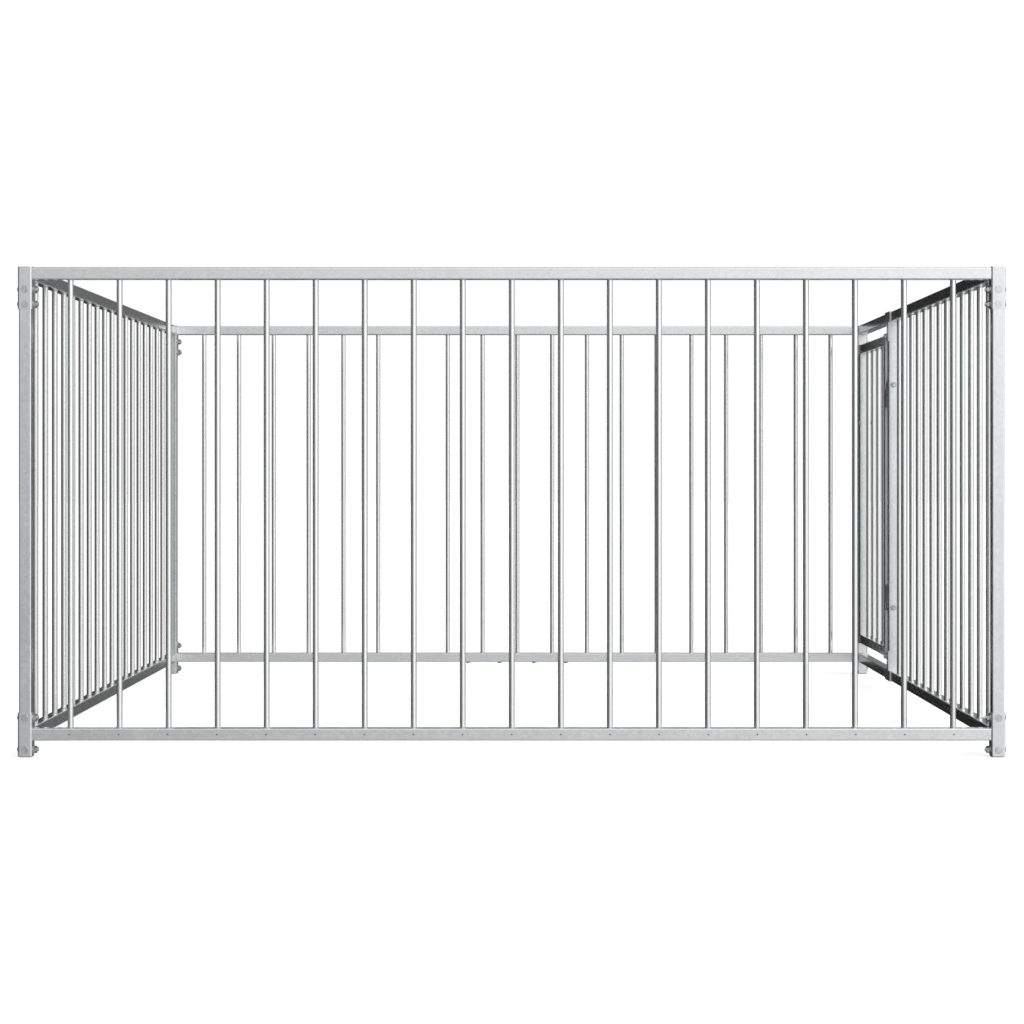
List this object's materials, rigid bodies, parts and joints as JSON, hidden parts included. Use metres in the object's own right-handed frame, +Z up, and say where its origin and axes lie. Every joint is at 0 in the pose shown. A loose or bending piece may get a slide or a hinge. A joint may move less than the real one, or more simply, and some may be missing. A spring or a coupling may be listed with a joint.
{
  "type": "dog run enclosure",
  "caption": "Free-standing square pen of galvanised tube rails and upright bars, open at top and floor, bolted at the corners, with a hinged barred door and a turning latch",
  "frame": {"origin": "on the floor, at the middle of the enclosure", "axes": "+Z up; the plain front panel faces -Y; the side with the door faces +X"},
  "size_m": [2.0255, 2.0056, 0.997],
  "materials": {
    "galvanised_tube": "satin hot-dip galvanised steel",
    "bracket_steel": "satin galvanised sheet steel",
    "zinc_fasteners": "bright zinc plate",
    "nuts": "dull zinc plate",
    "cap_metal": "satin galvanised steel",
    "foot_plastic": "moulded matt plastic"
  },
  "bodies": {
    "pen": {"left_front_post": "galvanised_tube", "left_rear_post": "galvanised_tube", "right_front_post": "galvanised_tube", "right_rear_post": "galvanised_tube", "front_top_rail": "galvanised_tube", "front_bottom_rail": "galvanised_tube", "front_bars": "galvanised_tube", "rear_top_rail": "galvanised_tube", "rear_bottom_rail": "galvanised_tube", "rear_bars": "galvanised_tube", "left_top_rail": "galvanised_tube", "left_bottom_rail": "galvanised_tube", "left_bars": "galvanised_tube", "right_top_rail": "galvanised_tube", "right_bottom_rail": "galvanised_tube", "right_bars": "galvanised_tube", "lintel_rail": "galvanised_tube", "sill_rail": "galvanised_tube", "hinge_post": "galvanised_tube", "top_saddle": "bracket_steel", "bottom_saddle": "bracket_steel", "left_front_top_bracket": "bracket_steel", "left_rear_top_bracket": "bracket_steel", "right_front_top_bracket": "bracket_steel", "right_rear_top_bracket": "bracket_steel", "left_front_foot_bracket": "bracket_steel", "left_rear_foot_bracket": "bracket_steel", "right_front_foot_bracket": "bracket_steel", "right_rear_foot_bracket": "bracket_steel", "bracket_bolts": "zinc_fasteners", "bracket_nuts": "nuts", "bracket_rivets": "zinc_fasteners", "saddle_bolts": "zinc_fasteners", "saddle_nuts": "nuts", "post_caps": "cap_metal", "post_feet": "foot_plastic", "rail_screws": "zinc_fasteners", "upper_hinge_eye": "zinc_fasteners", "lower_hinge_eye": "zinc_fasteners", "hinge_nuts": "nuts", "latch_keeper": "bracket_steel"},
    "door": {"door_hinge_stile": "galvanised_tube", "door_latch_stile": "galvanised_tube", "door_top_rail": "galvanised_tube", "door_bottom_rail": "galvanised_tube", "door_bars": "galvanised_tube", "upper_hinge_pin": "galvanised_tube", "lower_hinge_pin": "galvanised_tube", "latch_pivot": "zinc_fasteners", "latch_washer": "zinc_fasteners", "latch_nut": "nuts"},
    "latch": {"latch_arm": "bracket_steel"}
  },
  "joints": [
    {"name": "door_swing", "type": "hinge", "parent": "pen", "child": "door", "pos_m": [0.9875, 0.442, 0.5145], "axis": [0, 0, -1], "range_deg": [-110, 110]},
    {"name": "latch_turn", "type": "hinge", "parent": "door", "child": "latch", "pos_m": [1.0039, 0.9535, 0.717], "axis": [-1, 0, 0], "range_deg": [0, 90]}
  ]
}
